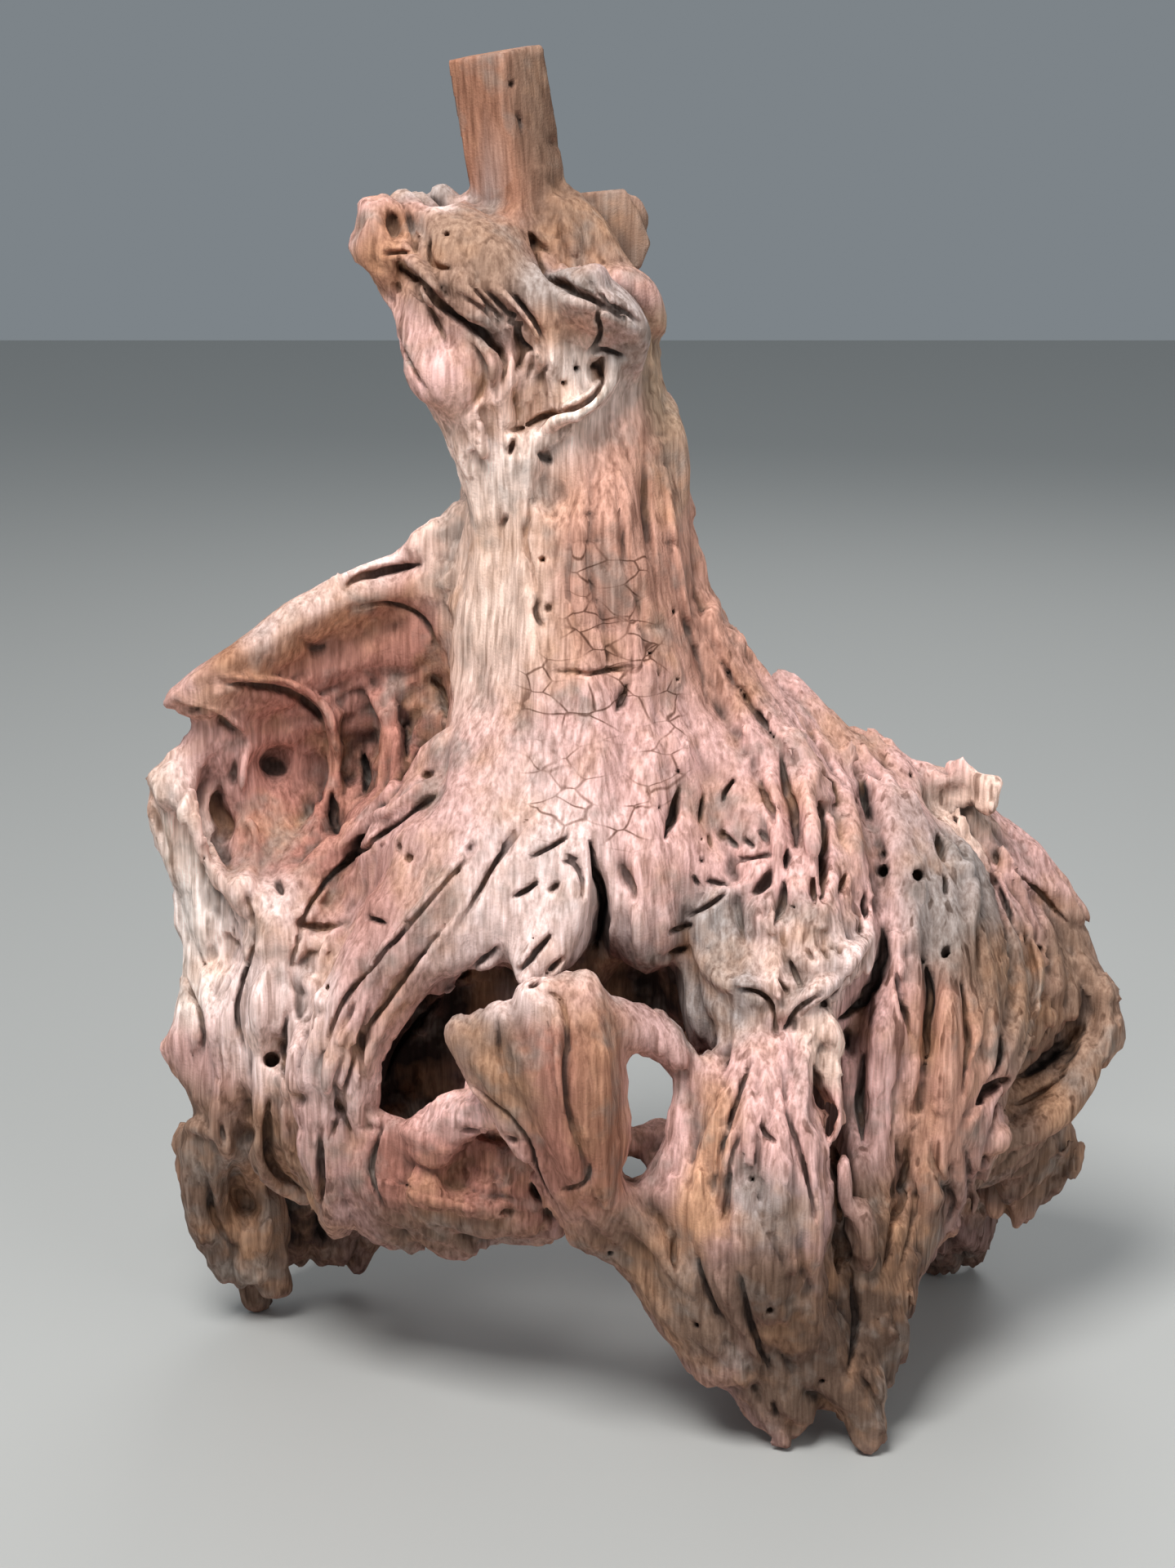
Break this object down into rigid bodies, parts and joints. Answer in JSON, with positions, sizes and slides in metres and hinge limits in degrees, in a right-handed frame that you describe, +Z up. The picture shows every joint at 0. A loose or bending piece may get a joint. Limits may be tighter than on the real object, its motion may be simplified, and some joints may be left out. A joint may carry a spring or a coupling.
{
  "type": "driftwood",
  "caption": "Dry weathered root crown of a small tree, standing on its root stumps, with a whittled peg on top and a hollow under the crown",
  "frame": {"origin": "on the surface it stands on, under the middle of its box", "axes": "+Z up, +X to the right seen from the front, the front towards -Y"},
  "size_m": [0.4508, 0.2708, 0.592],
  "materials": {
    "weathered_wood": "rough, dry, weathered"
  },
  "bodies": {
    "root": {"dry_root": "weathered_wood"}
  },
  "joints": []
}
